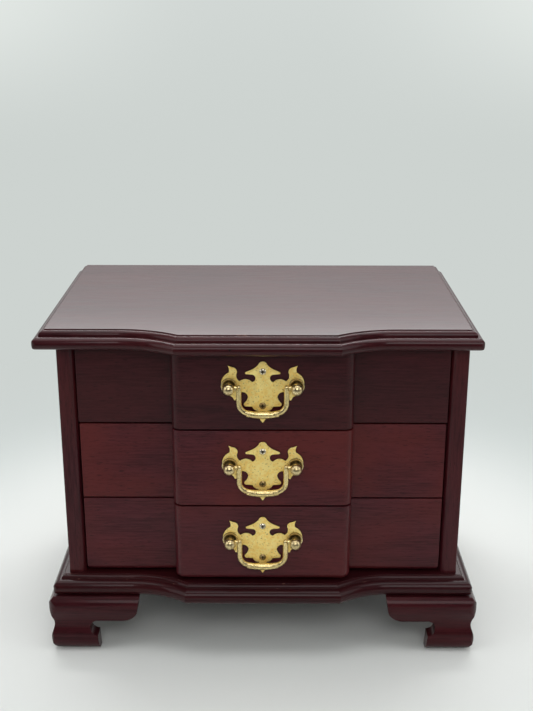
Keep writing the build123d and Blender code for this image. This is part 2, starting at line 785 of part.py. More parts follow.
def pull_screws():
    """Two round-headed cross-slotted screws through the plate."""
    head_y = -plate_thickness
    r, h = pull_screw_head_radius, pull_screw_head_height
    dome = make_face(Wire([
        ThreePointArc((0, h), (r * 0.68, h * 0.66), (r, 0)),
        Line((r, 0), (pull_screw_shank_radius, 0)),
        Line((pull_screw_shank_radius, 0), (pull_screw_shank_radius, pull_screw_shank_radius - pull_screw_length)),
        Line((pull_screw_shank_radius, pull_screw_shank_radius - pull_screw_length), (0, -pull_screw_length)),
        Line((0, -pull_screw_length), (0, h))]))
    screw = revolve(Plane.XZ * dome, Axis.Z)
    slot = Pos(0, 0, h) * Box(pull_slot_length, pull_slot_width, 2 * pull_slot_depth)
    screw = screw - slot - Rot(0, 0, 90) * slot
    screw = Rot(90, 0, 0) * screw
    return group(*[Pos(0, head_y, z) * screw for z in (pull_screw_upper, pull_screw_lower)])


def pull_parts(name, z):
    place = Pos(0, block_y, z)
    return {
        name + "_pull_plate": place * pull_plate(),
        name + "_pull_posts": place * pull_posts(),
        name + "_pull_bail": place * pull_bail(),
        name + "_pull_screws": place * pull_screws(),
    }


# Heights of the fronts and the middles of their pulls

false_front_top = case_top
top_pull_z = (false_front_z + false_front_top) / 2
middle_pull_z = (middle_front_z + middle_front_top) / 2 - middle_pull_lower
bottom_pull_z = (bottom_front_z + bottom_front_top) / 2 - bottom_pull_lower


def all_nodes():
    right_side = side_panel()
    long_divider, cross_dividers = well_dividers()
    face, back_part = front_left_foot()
    rear_side, rear_plain = rear_left_foot()
    false_block = front_block(false_front_z, false_front_top, front_edge_round)
    for hole in pull_holes(top_pull_z):
        false_block -= hole
    half = hinge_length / 2
    third = hinge_length / 6
    gap = hinge_knuckle_gap / 2
    outer_spans = [(-half, -third - gap), (third + gap, half)]
    inner_span = [(-third + gap, third - gap)]
    nodes = {
        "side_panel_left": mirrored(right_side),
        "side_panel_right": right_side,
        "back_panel": back_panel(),
        "base_board": base_board(),
        "well_floor": shelf(well_floor_z),
        "drawer_shelf": shelf(drawer_shelf_z),
        "well_front_board": well_front_board(),
        "false_front_panel": front_panel(
            false_front_side_gap, false_front_z, false_front_top, front_edge_round),
        "false_front_block": false_block,
        "well_liner": open_tray(well_x, well_y, (well_floor_top, liner_top)),
        "well_divider_long": long_divider,
        "well_dividers_cross": cross_dividers,
        "ring_roll_pad": ring_roll_pad(),
        "front_left_foot_face": face,
        "front_left_foot_return": back_part,
        "front_right_foot_face": mirrored(face),
        "front_right_foot_return": mirrored(back_part),
        "rear_left_foot_side": rear_side,
        "rear_left_foot_back": rear_plain,
        "rear_right_foot_side": mirrored(rear_side),
        "rear_right_foot_back": mirrored(rear_plain),
        "foot_glue_blocks": foot_glue_blocks(),
        "hinge_case_leaves": hinge_leaves(case_top, -1, outer_spans),
        "hinge_lid_leaves": hinge_leaves(lid_bottom, 1, inner_span),
        "hinge_pins": hinge_pins(),
        "hinge_case_screws": hinge_screws(case_top, -1),
        "hinge_lid_screws": hinge_screws(lid_bottom, 1),
        "lid_board": lid_board(),
        "mirror_glass": mirror_glass(),
        "mirror_frame": mirror_frame(),
        "lid_bumpers": lid_bumpers(),
    }
    nodes.update(drawer_parts(
        "middle_drawer", middle_front_z, middle_front_top,
        drawer_shelf_z + shelf_thickness + drawer_under_clearance, front_edge_round, middle_pull_z))
    nodes.update(drawer_parts(
        "bottom_drawer", bottom_front_z, bottom_front_top,
        base_top + drawer_under_clearance, lowest_edge_round, bottom_pull_z))
    for name, z in (("top", top_pull_z), ("middle", middle_pull_z), ("bottom", bottom_pull_z)):
        nodes.update(pull_parts(name, z))
    return nodes


def main():
    os.makedirs("parts", exist_ok=True)
    for name, shape in all_nodes().items():
        export_step(shape, "parts/" + name + ".step")
    print("chest", round(2 * (base_half + foot_bulge_out), 1), "wide,", round(lid_top, 1), "high")


main()
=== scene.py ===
import json
import math

import bpy
from mathutils import Matrix, Vector, noise

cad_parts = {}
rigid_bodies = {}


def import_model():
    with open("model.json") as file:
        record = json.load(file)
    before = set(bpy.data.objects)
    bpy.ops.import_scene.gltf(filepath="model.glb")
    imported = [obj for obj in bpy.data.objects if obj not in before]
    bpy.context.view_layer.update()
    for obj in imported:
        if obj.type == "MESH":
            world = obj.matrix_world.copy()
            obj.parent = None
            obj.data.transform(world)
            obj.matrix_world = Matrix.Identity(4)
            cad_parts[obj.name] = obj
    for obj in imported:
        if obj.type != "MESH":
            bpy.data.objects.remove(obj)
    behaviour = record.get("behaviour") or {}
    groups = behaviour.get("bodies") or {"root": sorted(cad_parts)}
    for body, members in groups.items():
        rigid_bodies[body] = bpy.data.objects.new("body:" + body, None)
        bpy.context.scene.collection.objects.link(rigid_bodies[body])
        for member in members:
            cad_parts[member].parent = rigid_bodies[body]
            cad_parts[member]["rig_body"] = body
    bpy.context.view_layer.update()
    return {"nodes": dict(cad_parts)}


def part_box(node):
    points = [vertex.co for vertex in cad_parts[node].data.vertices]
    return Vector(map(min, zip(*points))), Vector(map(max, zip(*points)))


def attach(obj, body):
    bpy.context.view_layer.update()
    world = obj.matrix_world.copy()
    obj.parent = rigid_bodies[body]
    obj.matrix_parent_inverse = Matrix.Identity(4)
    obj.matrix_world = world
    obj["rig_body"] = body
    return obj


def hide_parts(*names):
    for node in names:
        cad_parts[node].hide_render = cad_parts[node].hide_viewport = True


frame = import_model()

# A block-front jewellery chest in dark mahogany lacquer, with brass pulls, felt and
# velvet linings and a mirror in its lid. Lengths are in metres, as in the frame.

nodes = frame["nodes"]
scene = bpy.context.scene
mm = 0.001

# the camera, solved from the photograph
photo_height = 711
focal_length_in_pixels = 1070.2
sensor_width = 36.0
camera_place = Vector((4.3, -770.3, 457.3)) * mm
camera_looks_down = math.radians(18.5)
camera_turns_left = math.radians(0.15)
camera_tilts = math.radians(0.08)

# the studio: a round floor that curves up into a wall
floor_radius = 1.25
wall_radius = 2.1
wall_height = 2.6
bend_steps = 8
round_steps = 96
# the floor's colour darkens further out: painted shade of the light falling off
near_floor = (0.75, 0.76, 0.74, 1)
far_floor = (0.49, 0.52, 0.51, 1)
floor_darkens = (0.16, 0.48)
shadows_end = (0.24, 0.66)
# the wall is paler higher up and at its upper corners: painted light
pale_wall = (0.61, 0.65, 0.63, 1)
bright_wall = (0.83, 0.87, 0.86, 1)
corner_wall = (0.80, 0.84, 0.81, 1)

# what lacquer and metal reflect: the room's front is dark, its back bright, and the
# table ends in front of the chest
dark_room = (0.05, 0.05, 0.055, 1)
dim_room = (0.37, 0.36, 0.36, 1)
lit_room = (1.0, 1.0, 1.0, 1)
table_ends = (-0.60, -0.95)

# the lamps: place, width and height, watts
air_colour = (0.95, 0.98, 1.0, 1)
room_light = 0.45
lamps_aim = (0, 0, 0.12)
softboxes = {
    "overhead_box": ((0.0, -0.05, 1.35), (1.3, 0.9), 8.5),
    "strip_box": ((0.0, 0.55, 1.25), (1.5, 0.10), 9.0),
    "rear_box": ((0.0, 1.45, 0.98), (1.8, 0.5), 5.0),
    "left_box": ((-1.25, -0.55, 0.75), (0.8, 0.9), 3.4),
    "right_box": ((1.25, -0.45, 0.75), (0.8, 0.9), 3.0),
    "front_box": ((0.1, -1.35, 1.1), (1.0, 0.6), 6.5),
}

# the metal fittings
plate_edge_round = 0.18 * mm
screw_edge_round = 0.12 * mm
screw_centre_inset = 2.5 * mm
cross_reach = 1.5 * mm
cross_depth = 0.75 * mm
collar_height = 1.3 * mm
collar_rim_width = 0.3 * mm

# the mirror
glass_bevel_width = 9.0 * mm
glass_bevel_depth = 1.1 * mm
glass_arris = 0.3 * mm

# the felt linings
lining_thickness = 1.35 * mm
lining_side_gap = 0.15 * mm
lining_under_gap = 0.1 * mm
lining_top_gap = 0.2 * mm
lining_corner_round = 2.2 * mm
lining_rim_round = 0.45 * mm
lining_unevenness = 0.12 * mm
lining_waves = 70
lining_cuts = 9

# the dividers in velvet
velvet_gap = Vector((0.1, 0.1, 0.05)) * mm
velvet_edge_round = 1.3 * mm
velvet_unevenness = 0.16 * mm
velvet_waves = 110
velvet_cuts = 7

# the ring rolls
roll_count = 7
roll_gap = Vector((0.7, 0.45, 0.6)) * mm
roll_under_gap = 0.1 * mm
roll_round_share = 0.47
roll_end_round = 1.6 * mm
roll_voxel = 1.5 * mm
roll_pressure = 4.0
roll_swell = 0.5 * mm
swell_frames = 20
gather_reach = 7 * mm
gather_height = 0.35 * mm
gather_waves = Vector((25, 620, 620))
roll_unevenness = 0.16 * mm
roll_waves = 60

# the felt bumpers
bumper_side_gap = 0.05 * mm
bumper_rim = 0.6 * mm
bumper_ring = 1.2 * mm
bumper_dome = 0.25 * mm
bumper_raggedness = 0.06 * mm
bumper_waves = 900


# Small tools


def deselect_all():
    bpy.ops.object.select_all(action="DESELECT")


def pick(piece):
    """Only this piece is selected and active."""
    deselect_all()
    piece.select_set(True)
    bpy.context.view_layer.objects.active = piece


def select_in_edit_mode(piece, kind, wanted):
    """Edit mode, with only those faces or edges selected that wanted() names."""
    bpy.ops.object.mode_set(mode="EDIT")
    bpy.ops.mesh.select_mode(type={"faces": "FACE", "edges": "EDGE"}[kind])
    bpy.ops.mesh.select_all(action="DESELECT")
    bpy.ops.object.mode_set(mode="OBJECT")
    mesh = piece.data
    for part in (mesh.polygons if kind == "faces" else mesh.edges):
        part.select = bool(wanted(mesh, part))
    bpy.ops.object.mode_set(mode="EDIT")


def edge_ends(mesh, edge):
    return [mesh.vertices[i].co for i in edge.vertices]


def block(name, low, high):
    """A cube primitive stretched between two corners, its place applied to its mesh."""
    deselect_all()
    low, high = Vector(low), Vector(high)
    bpy.ops.mesh.primitive_cube_add(size=1, location=(low + high) / 2)
    piece = bpy.context.active_object
    piece.name = piece.data.name = name
    piece.scale = high - low
    bpy.ops.object.transform_apply(location=True, rotation=True, scale=True)
    return piece


def finish_with(piece, kind, **settings):
    """Adds one modifier and applies it."""
    pick(piece)
    modifier = piece.modifiers.new(kind.lower(), kind)
    for name, value in settings.items():
        setattr(modifier, name, value)
    bpy.ops.object.modifier_apply(modifier=modifier.name)


def smooth(piece, angle):
    """Smooth shading, except over edges sharper than angle in degrees."""
    pick(piece)
    bpy.ops.object.shade_smooth_by_angle(angle=math.radians(angle))


def normals_outward(piece):
    pick(piece)
    bpy.ops.object.mode_set(mode="EDIT")
    bpy.ops.mesh.select_all(action="SELECT")
    bpy.ops.mesh.remove_doubles(threshold=0.005 * mm)
    bpy.ops.mesh.normals_make_consistent(inside=False)
    bpy.ops.object.mode_set(mode="OBJECT")


def joined(parts, name):
    """One piece of several, under its own name."""
    deselect_all()
    for part in parts:
        part.select_set(True)
    bpy.context.view_layer.objects.active = parts[0]
    if len(parts) > 1:
        bpy.ops.object.join()
    whole = bpy.context.view_layer.objects.active
    whole.name = whole.data.name = name
    return whole


def merged_copy(node, name):
    """A copy of a CAD node's mesh, its triangles merged, with its own name."""
    piece = bpy.data.objects.new(name, nodes[node].data.copy())
    piece.data.name = name
    piece.data.materials.clear()
    scene.collection.objects.link(piece)
    pick(piece)
    bpy.ops.mesh.customdata_custom_splitnormals_clear()
    bpy.ops.object.mode_set(mode="EDIT")
    bpy.ops.mesh.select_all(action="SELECT")
    bpy.ops.mesh.remove_doubles(threshold=0.002 * mm)
    bpy.ops.mesh.dissolve_limited(angle_limit=math.radians(0.5))
    bpy.ops.object.mode_set(mode="OBJECT")
    return piece


def stand_for(piece, node):
    """The piece replaces a CAD node and rides on the node's body."""
    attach(piece, nodes[node]["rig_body"])
    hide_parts(node)


# Shader tools


def put(tree, kind, inputs=None, **settings):
    """A shader node with its settings; its inputs are values or other nodes' outputs."""
    made = tree.nodes.new("ShaderNode" + kind)
    for name, value in settings.items():
        setattr(made, name, value)
    for name, value in (inputs or {}).items():
        if isinstance(value, bpy.types.NodeSocket):
            tree.links.new(value, made.inputs[name])
        else:
            made.inputs[name].default_value = value
    return made


def maths(tree, operation, *values):
    return put(tree, "Math", dict(enumerate(values)), operation=operation).outputs[0]


def remap(tree, value, low, high, to_low=0.0, to_high=1.0):
    """value from low..high to to_low..to_high, eased and held at both ends."""
    return put(tree, "MapRange", {
        "Value": value, "From Min": low, "From Max": high, "To Min": to_low, "To Max": to_high,
    }, interpolation_type="SMOOTHSTEP").outputs["Result"]


def mix_colours(tree, factor, first, second):
    return put(tree, "Mix", {0: factor, 6: first, 7: second}, data_type="RGBA").outputs[2]


def layer(tree, under, over, mask, share):
    """The colour over lies on the colour under where mask says, at most by share."""
    return mix_colours(tree, maths(tree, "MULTIPLY", mask, share), under, over)


def stretched_noise(tree, place, stretch, detail=3.0, distortion=0.0):
    """Noise with its own number of waves per metre along each axis."""
    stretched = put(tree, "VectorMath", {0: place, 1: stretch}, operation="MULTIPLY").outputs[0]
    return put(tree, "TexNoise", {
        "Vector": stretched, "Scale": 1.0, "Detail": detail, "Distortion": distortion}).outputs[0]


def new_group(name, inputs, outputs):
    """A node group with labelled inputs and outputs, each a vector or a value."""
    kinds = {"vector": "NodeSocketVector", "value": "NodeSocketFloat"}
    tree = bpy.data.node_groups.new(name, "ShaderNodeTree")
    for label, kind in inputs:
        tree.interface.new_socket(label, in_out="INPUT", socket_type=kinds[kind])
    for label, kind in outputs:
        tree.interface.new_socket(label, in_out="OUTPUT", socket_type=kinds[kind])
    return tree, tree.nodes.new("NodeGroupInput").outputs, tree.nodes.new("NodeGroupOutput").inputs


def put_group(tree, group, inputs):
    made = tree.nodes.new("ShaderNodeGroup")
    made.node_tree = group
    for name, value in inputs.items():
        if isinstance(value, bpy.types.NodeSocket):
            tree.links.new(value, made.inputs[name])
        else:
            made.inputs[name].default_value = value
    return made.outputs


# Effects that several finishes share


# waves per metre along and across the grain, for wood_grain
figure_waves = (9, 85, 85)
line_waves = (48, 780, 780)
pore_waves = (190, 1900, 1900)
blotch_waves = (11, 17, 17)


def make_wood_grain():
    """Grain along X: broad figure, fine lines, short open pores, and blotches of stain."""
    tree, given, result = new_group(
        "wood_grain", [("Place", "vector")],
        [("Figure", "value"), ("Lines", "value"), ("Pores", "value"), ("Blotch", "value")])
    place = given["Place"]
    figure = stretched_noise(tree, place, figure_waves, detail=3, distortion=0.8)
    lines = stretched_noise(tree, place, line_waves, detail=2)
    pores = stretched_noise(tree, place, pore_waves, detail=1)
    blotch = stretched_noise(tree, place, blotch_waves, detail=2)
    tree.links.new(remap(tree, figure, 0.32, 0.68), result["Figure"])
    tree.links.new(remap(tree, lines, 0.3, 0.7), result["Lines"])
    tree.links.new(remap(tree, pores, 0.6, 0.72), result["Pores"])
    tree.links.new(remap(tree, blotch, 0.35, 0.65), result["Blotch"])
    return tree


def make_edge_finish():
    """A rounded normal on sharp edges, and masks of those edges and of small nicks in them."""
    tree, given, result = new_group(
        "edge_finish", [("Place", "vector"), ("Radius", "value")],
        [("Normal", "vector"), ("Edge", "value"), ("Nicks", "value")])
    rounded = put(tree, "Bevel", {"Radius": given["Radius"]}, samples=4).outputs[0]
    sharp = put(tree, "NewGeometry").outputs["Normal"]
    agree = put(tree, "VectorMath", {0: rounded, 1: sharp}, operation="DOT_PRODUCT").outputs["Value"]
    edge = remap(tree, agree, 0.99, 0.84)
    spots = stretched_noise(tree, given["Place"], (260, 260, 260), detail=2)
    nicks = maths(tree, "MULTIPLY", edge, remap(tree, spots, 0.67, 0.71))
    tree.links.new(rounded, result["Normal"])
    tree.links.new(edge, result["Edge"])
    tree.links.new(nicks, result["Nicks"])
    return tree


def make_specks():
    """Sparse round specks of dust or dirt."""
    tree, given, result = new_group(
        "specks",
        [("Place", "vector"), ("Per metre", "value"), ("Size", "value"), ("Share", "value")],
        [("Specks", "value")])
    cells = put(tree, "TexVoronoi", {"Vector": given["Place"], "Scale": given["Per metre"]})
    near = maths(tree, "LESS_THAN", cells.outputs["Distance"], given["Size"])
    chance = put(tree, "SeparateColor", {"Color": cells.outputs["Color"]}).outputs[0]
    some = maths(tree, "LESS_THAN", chance, given["Share"])
    tree.links.new(maths(tree, "MULTIPLY", near, some), result["Specks"])
    return tree


def make_tarnish():
    """Patches of dull metal, dark flecks, and the fine unevenness of a casting or stamping."""
    tree, given, result = new_group(
        "tarnish", [("Place", "vector")],
        [("Dull", "value"), ("Flecks", "value"), ("Height", "value")])
    place = given["Place"]
    broad = stretched_noise(tree, place, (140, 140, 140), detail=4, distortion=0.5)
    small = stretched_noise(tree, place, (620, 620, 620), detail=3)
    fleck = stretched_noise(tree, place, (900, 900, 900), detail=2)
    dull = maths(
        tree, "ADD", maths(tree, "MULTIPLY", broad, 0.4), maths(tree, "MULTIPLY", small, 0.6))
    tree.links.new(remap(tree, dull, 0.42, 0.62), result["Dull"])
    tree.links.new(remap(tree, fleck, 0.62, 0.68), result["Flecks"])
    height = maths(tree, "ADD", broad, maths(tree, "MULTIPLY", small, 0.5))
    tree.links.new(height, result["Height"])
    return tree


def make_nap():
    """Short pile: fine fibres, and broad patches where it was brushed another way."""
    tree, given, result = new_group(
        "nap", [("Place", "vector"), ("Fibres per metre", "value")],
        [("Fibres", "value"), ("Brushed", "value")])
    place = given["Place"]
    fibres = put(tree, "TexNoise", {
        "Vector": place, "Scale": given["Fibres per metre"], "Detail": 3.0, "Roughness": 0.7}).outputs[0]
    brushed = stretched_noise(tree, place, (34, 22, 30), detail=2, distortion=1.0)
    tree.links.new(remap(tree, fibres, 0.3, 0.7), result["Fibres"])
    tree.links.new(remap(tree, brushed, 0.35, 0.65), result["Brushed"])
    return tree


wood_grain = make_wood_grain()
edge_finish = make_edge_finish()
specks = make_specks()
tarnish = make_tarnish()
nap = make_nap()

# Finishes

grain_turn = {"X": (0, 0, 0), "Y": (0, 0, math.radians(-90)), "Z": (0, math.radians(90), 0)}


def new_finish(name, **constants):
    """A material with one Principled shader and its constant values."""
    material = bpy.data.materials.new(name)
    material.use_nodes = True
    tree = material.node_tree
    tree.nodes.clear()
    values = {label.replace("_", " "): value for label, value in constants.items()}
    shader = put(tree, "BsdfPrincipled", values)
    surface = put(tree, "OutputMaterial")
    tree.links.new(shader.outputs[0], surface.inputs[0])
    place = put(tree, "TexCoord").outputs["Object"]
    return material, tree, shader, place


def bump(tree, height, distance, normal=None):
    inputs = {"Height": height, "Distance": distance, "Strength": 1.0}
    if normal is not None:
        inputs["Normal"] = normal
    return put(tree, "Bump", inputs).outputs[0]


stain_deep = (0.031, 0.0034, 0.0060, 1)
stain_pale = (0.055, 0.0072, 0.0112, 1)
stain_lines = (0.092, 0.0160, 0.0210, 1)
stain_red = (0.104, 0.0130, 0.0115, 1)
stain_pores = (0.012, 0.0025, 0.003, 1)
darker_stain_and_shade = (0.010, 0.002, 0.0025, 1)
worn_edge = (0.13, 0.030, 0.024, 1)
bare_nick = (0.36, 0.19, 0.15, 1)
dirt_black = (0.006, 0.005, 0.005, 1)
lacquer_edge_round = 0.5 * mm
lacquer_relief = 0.02 * mm
lacquer_roughness = 0.33
ripple_waves = (160, 160, 160)
dust_specks = {"Per metre": 42.0, "Size": 0.032, "Share": 0.13}


def mahogany(name, grain="X", shift=(0, 0, 0), dark=0.0, red=0.35, gloss=0.9, dusty=False):
    """Dark red-brown lacquer over fine straight grain, thinner and redder along its edges."""
    material, tree, shader, place = new_finish(
        name, Coat_Roughness=0.11, Coat_IOR=1.25, IOR=1.15)
    turned = put(tree, "Mapping", {
        "Vector": place, "Rotation": grain_turn[grain], "Location": shift}).outputs[0]
    wood = put_group(tree, wood_grain, {"Place": turned})
    edges = put_group(tree, edge_finish, {"Place": place, "Radius": lacquer_edge_round})
    colour = mix_colours(tree, wood["Figure"], stain_deep, stain_pale)
    colour = layer(tree, colour, stain_lines, wood["Lines"], 0.55)
    colour = layer(tree, colour, stain_red, wood["Blotch"], red)
    colour = layer(tree, colour, stain_pores, wood["Pores"], 0.6)
    # dark blends towards a darker colour: painted shade on the top fronts, partly painted shade and
    # partly darker wood on the lid, base and feet
    colour = mix_colours(tree, dark, colour, darker_stain_and_shade)
    colour = layer(tree, colour, worn_edge, edges["Edge"], 0.18)
    colour = mix_colours(tree, edges["Nicks"], colour, bare_nick)
    rough = maths(
        tree, "ADD", lacquer_roughness, maths(tree, "MULTIPLY", wood["Lines"], 0.06))
    if dusty:
        dirt = put_group(tree, specks, {"Place": place, **dust_specks})
        colour = mix_colours(tree, dirt["Specks"], colour, dirt_black)
        rough = maths(tree, "ADD", rough, maths(tree, "MULTIPLY", dirt["Specks"], 0.4))
    ripple = maths(tree, "MULTIPLY", stretched_noise(tree, place, ripple_waves, detail=1), 0.35)
    height = maths(tree, "SUBTRACT", ripple, maths(tree, "MULTIPLY", wood["Pores"], 0.5))
    coat = maths(tree, "MULTIPLY", gloss, maths(tree, "SUBTRACT", 1.0, edges["Nicks"]))
    tree.links.new(colour, shader.inputs["Base Color"])
    tree.links.new(rough, shader.inputs["Roughness"])
    tree.links.new(coat, shader.inputs["Coat Weight"])
    tree.links.new(bump(tree, height, lacquer_relief, edges["Normal"]), shader.inputs["Normal"])
    return material


box_deep = (0.16, 0.062, 0.034, 1)
box_pale = (0.25, 0.108, 0.062, 1)
box_lines = (0.33, 0.16, 0.10, 1)
box_pores = (0.05, 0.018, 0.01, 1)
box_worn = (0.40, 0.22, 0.14, 1)
box_edge_round = 0.4 * mm
box_relief = 0.03 * mm
box_roughness = 0.52


def stained_wood(name, grain, shift=(0, 0, 0)):
    """The thinner, plainer finish of the drawer boxes and shelves."""
    material, tree, shader, place = new_finish(name, IOR=1.45)
    turned = put(tree, "Mapping", {
        "Vector": place, "Rotation": grain_turn[grain], "Location": shift}).outputs[0]
    wood = put_group(tree, wood_grain, {"Place": turned})
    edges = put_group(tree, edge_finish, {"Place": place, "Radius": box_edge_round})
    colour = mix_colours(tree, wood["Figure"], box_deep, box_pale)
    colour = layer(tree, colour, box_lines, wood["Lines"], 0.6)
    colour = layer(tree, colour, box_pores, wood["Pores"], 0.7)
    colour = layer(tree, colour, box_worn, edges["Edge"], 0.4)
    rough = maths(tree, "ADD", box_roughness, maths(tree, "MULTIPLY", wood["Lines"], 0.12))
    height = maths(tree, "SUBTRACT", wood["Lines"], wood["Pores"])
    tree.links.new(colour, shader.inputs["Base Color"])
    tree.links.new(rough, shader.inputs["Roughness"])
    tree.links.new(bump(tree, height, box_relief, edges["Normal"]), shader.inputs["Normal"])
    return material


hollow_painted_shade = (0.06, 0.04, 0.015, 1)


def brass(name, bright, dull, fleck, rough, dullness=1.0, relief=0.05 * mm, metallic=1.0,
          edge_round=0.25 * mm, shaded_behind=None):
    """Yellow metal with patches of tarnish, brighter along its edges, partly rubbed wear and partly a
    painted highlight.

    Where a Y is given for the collar's hollow, what lies behind it is darkened as painted shade.
    """
    material, tree, shader, place = new_finish(name, Metallic=metallic)
    metal = put_group(tree, tarnish, {"Place": place})
    edges = put_group(tree, edge_finish, {"Place": place, "Radius": edge_round})
    dulled = maths(tree, "MULTIPLY", metal["Dull"], dullness)
    colour = mix_colours(tree, dulled, bright, dull)
    colour = layer(tree, colour, fleck, metal["Flecks"], 0.6)
    # brighter edges: partly rubbed wear, partly a painted highlight
    colour = layer(tree, colour, bright, edges["Edge"], 0.5)
    if shaded_behind is not None:
        # painted shade: the collar's dish behind the given Y is darkened
        depth = put(tree, "SeparateXYZ", {"Vector": place}).outputs["Y"]
        hollow = remap(tree, depth, shaded_behind, shaded_behind + collar_rim_width)
        colour = layer(tree, colour, hollow_painted_shade, hollow, 0.85)
    tree.links.new(colour, shader.inputs["Base Color"])
    tree.links.new(
        maths(tree, "ADD", rough, maths(tree, "MULTIPLY", dulled, 0.16)), shader.inputs["Roughness"])
    tree.links.new(bump(tree, metal["Height"], relief, edges["Normal"]), shader.inputs["Normal"])
    return material


def cloth_finish(name, deep, pale, fibres, depth, sheen):
    """Short-piled cloth: the colour lifts on fibre tips and where the pile was brushed."""
    material, tree, shader, place = new_finish(
        name, Roughness=0.95, Sheen_Weight=sheen, Sheen_Roughness=0.35, Sheen_Tint=pale)
    pile = put_group(tree, nap, {"Place": place, "Fibres per metre": fibres})
    colour = layer(tree, deep, pale, pile["Brushed"], 0.45)
    colour = layer(tree, colour, pale, pile["Fibres"], 0.45)
    tree.links.new(colour, shader.inputs["Base Color"])
    tree.links.new(bump(tree, pile["Fibres"], depth), shader.inputs["Normal"])
    return material


silver_deep = (0.86, 0.89, 0.89, 1)
silver_pale = (0.90, 0.92, 0.92, 1)


def mirror_silver():
    """Silvered glass, with faint smears in its gloss."""
    material, tree, shader, place = new_finish(
        "mirror_silver", Metallic=1.0, Coat_Weight=0.6, Coat_Roughness=0.02)
    smears = stretched_noise(tree, place, (22, 60, 22), detail=3, distortion=1.2)
    rough = remap(tree, smears, 0.35, 0.75, 0.012, 0.05)
    tree.links.new(rough, shader.inputs["Roughness"])
    tree.links.new(mix_colours(tree, smears, silver_deep, silver_pale), shader.inputs["Base Color"])
    return material


# dark on the lid and the base: partly painted shade, partly darker wood
lid_wood = mahogany("mahogany_lid", "X", (0.3, 0.1, 0), dark=0.45, red=0.25, gloss=1.0, dusty=True)
base_wood = mahogany("mahogany_base", "X", (0.8, 0.4, 0.2), dark=0.65, gloss=0.8)
side_wood = mahogany("mahogany_sides", "Z", (0.2, 0.9, 0.5), dark=0.25)
back_wood = mahogany("mahogany_back", "X", (1.7, 0.2, 0.4), dark=0.1, red=0.5)
inner_wood = mahogany("mahogany_inside", "X", (2.1, 0.6, 0.3), dark=0.1)
frame_wood = mahogany("mahogany_mirror_frame", "X", (0.5, 1.4, 0.9), dark=0.1)
# the top fronts' dark is painted shade from the lid above them
top_front_wood = mahogany("mahogany_top_front", "X", (0.45, 0.2, 1.3), dark=0.45, red=0.3)
middle_front_wood = mahogany("mahogany_middle_front", "X", (1.45, 0.5, 0.7), red=0.75)
bottom_front_wood = mahogany("mahogany_bottom_front", "X", (2.6, 0.8, 0.15), red=0.4)
# dark on the feet: partly painted shade, partly darker wood
foot_face_wood = mahogany("mahogany_foot_faces", "X", (3.1, 0.3, 0.6), dark=0.4, red=0.2, gloss=0.6)
foot_side_wood = mahogany("mahogany_foot_sides", "Y", (0.9, 3.3, 0.6), dark=0.4, red=0.2, gloss=0.6)
box_wood_across = stained_wood("stained_wood_across", "X")
box_wood_along = stained_wood("stained_wood_along", "Y", (0.4, 0.7, 0.1))

plate_brass = brass(
    "brass_plate", bright=(1.0, 0.77, 0.27, 1), dull=(0.97, 0.66, 0.17, 1),
    fleck=(0.24, 0.14, 0.03, 1), rough=0.34, relief=0.035 * mm, metallic=0.35)
# near-black plate sides: painted shade, a dark outline round each plate
plate_side_painted_shade = brass(
    "brass_plate_side_painted_shade", bright=(0.07, 0.045, 0.02, 1), dull=(0.03, 0.02, 0.01, 1),
    fleck=(0.02, 0.01, 0.005, 1), rough=0.5)
cast_brass = brass(
    "brass_cast", bright=(0.84, 0.67, 0.32, 1), dull=(0.60, 0.45, 0.19, 1),
    fleck=(0.34, 0.23, 0.09, 1), rough=0.24, dullness=0.7, relief=0.006 * mm,
    edge_round=0.06 * mm)
collar_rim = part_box("top_pull_plate")[0].y - collar_height
# the posts' collar dishes are darkened behind their rim as painted shade
post_brass = brass(
    "brass_posts", bright=(0.74, 0.60, 0.33, 1), dull=(0.54, 0.41, 0.19, 1),
    fleck=(0.30, 0.20, 0.08, 1), rough=0.27, dullness=0.7, relief=0.006 * mm,
    edge_round=0.06 * mm, shaded_behind=collar_rim)
hinge_brass = brass(
    "brass_hinge", bright=(0.82, 0.64, 0.28, 1), dull=(0.56, 0.41, 0.16, 1),
    fleck=(0.25, 0.16, 0.06, 1), rough=0.3, dullness=0.6, relief=0.02 * mm)
bright_screw = brass(
    "screw_bright", bright=(0.86, 0.80, 0.62, 1), dull=(0.62, 0.54, 0.36, 1),
    fleck=(0.3, 0.24, 0.14, 1), rough=0.22, dullness=0.5, relief=0.02 * mm)
# the lower screw's darker colour is painted shade from the bail hanging over it
lower_screw_painted_shade = brass(
    "screw_lower_painted_shade", bright=(0.50, 0.36, 0.16, 1), dull=(0.26, 0.17, 0.06, 1),
    fleck=(0.08, 0.05, 0.02, 1), rough=0.36, relief=0.03 * mm)
# painted shade in the screws' cross recesses
recess_painted_shade = brass(
    "screw_recess_painted_shade", bright=(0.10, 0.075, 0.04, 1), dull=(0.03, 0.02, 0.012, 1),
    fleck=(0.012, 0.008, 0.005, 1), rough=0.6)

lining_felt = cloth_finish(
    "lining_felt", deep=(0.022, 0.058, 0.038, 1), pale=(0.050, 0.125, 0.084, 1),
    fibres=1500.0, depth=0.14 * mm, sheen=0.25)
roll_velvet = cloth_finish(
    "roll_velvet", deep=(0.018, 0.055, 0.036, 1), pale=(0.060, 0.150, 0.100, 1),
    fibres=2400.0, depth=0.08 * mm, sheen=0.7)
bumper_felt = cloth_finish(
    "bumper_felt", deep=(0.060, 0.036, 0.028, 1), pale=(0.140, 0.095, 0.075, 1),
    fibres=1800.0, depth=0.12 * mm, sheen=0.3)
silver = mirror_silver()

